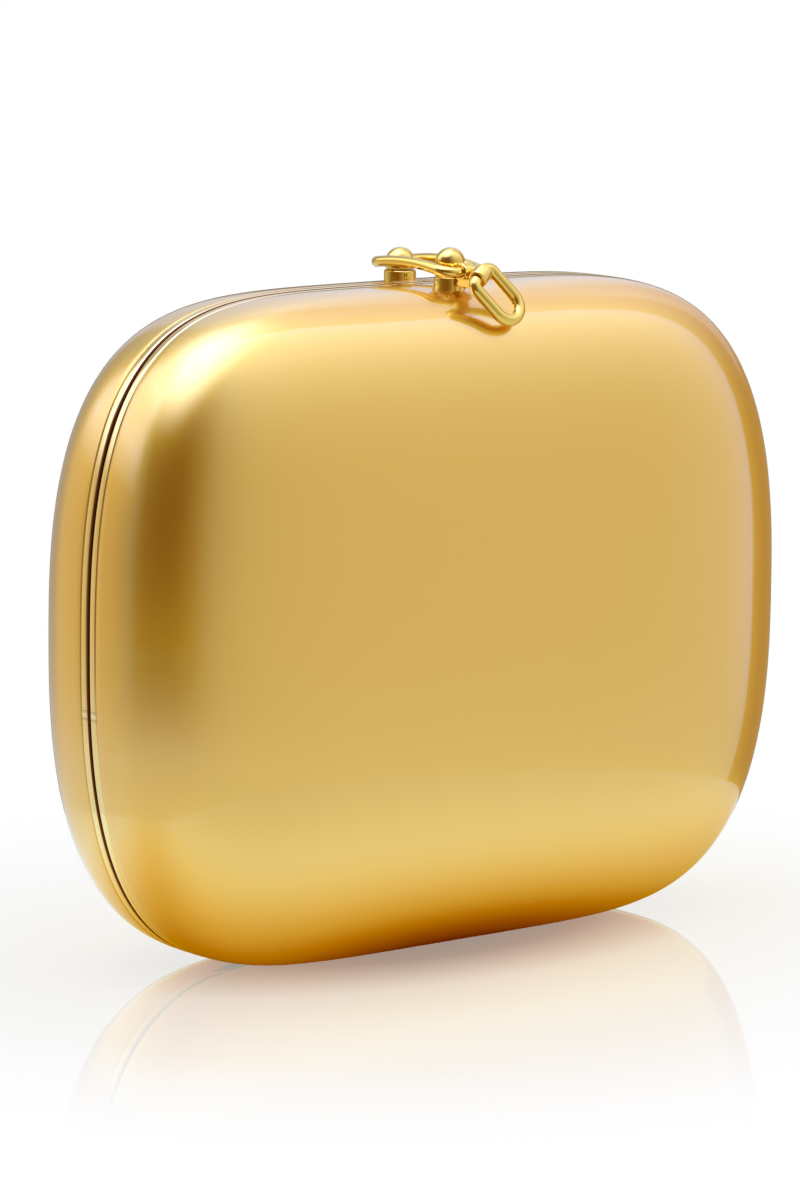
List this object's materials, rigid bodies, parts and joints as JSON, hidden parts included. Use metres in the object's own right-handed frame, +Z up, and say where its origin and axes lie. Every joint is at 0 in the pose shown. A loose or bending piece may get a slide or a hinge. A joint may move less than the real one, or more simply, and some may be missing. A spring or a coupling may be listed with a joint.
{
  "type": "minaudiere clutch bag",
  "caption": "Hard pillow-shaped metal clutch: two hinged half shells with polished rims, lined inside, closed at the top by a swinging wire link and a pull ring.",
  "frame": {"origin": "middle of the flat base that the closed bag stands on, under the seam", "axes": "+X along the width to the right end seen from the front, +Y towards the rear half, +Z up; the front face looks towards -Y"},
  "size_m": [0.16, 0.057, 0.1372],
  "materials": {
    "shell_gold": "satin gold metal under clear gloss lacquer",
    "polished_gold": "mirror polished gold",
    "hinge_brass": "plain brass",
    "pin_steel": "bright steel wire",
    "lining_leather": "fine matt leather",
    "binding_leather": "folded leather edge"
  },
  "bodies": {
    "rear_half": {"rear_shell": "shell_gold", "rear_frame": "polished_gold", "rear_lining": "lining_leather", "rear_binding": "binding_leather", "slip_pocket": "lining_leather", "rear_hinge_leaf": "hinge_brass", "rear_rivets": "hinge_brass", "hinge_pin": "pin_steel", "rear_stud": "polished_gold"},
    "front_half": {"front_shell": "shell_gold", "front_frame": "polished_gold", "front_lining": "lining_leather", "front_binding": "binding_leather", "front_hinge_leaf": "hinge_brass", "front_rivets": "hinge_brass", "front_post": "polished_gold", "clasp_knuckle": "polished_gold"},
    "link": {"clasp_link": "polished_gold", "rear_cap": "polished_gold", "cap_pin": "polished_gold"},
    "ring": {"pull_ring": "polished_gold"}
  },
  "joints": [
    {"name": "lid_open", "type": "hinge", "parent": "rear_half", "child": "front_half", "pos_m": [0, 0, 0.0019], "axis": [1, 0, 0], "range_deg": [0, 80]},
    {"name": "link_lift", "type": "hinge", "parent": "front_half", "child": "link", "pos_m": [0, -0.01246, 0.13277], "axis": [1, 0, 0], "range_deg": [0, 100]},
    {"name": "ring_swing", "type": "hinge", "parent": "front_half", "child": "ring", "pos_m": [0, -0.01716, 0.13247], "axis": [-0.8138, -0.2962, -0.5], "range_deg": [-4, 75]}
  ]
}
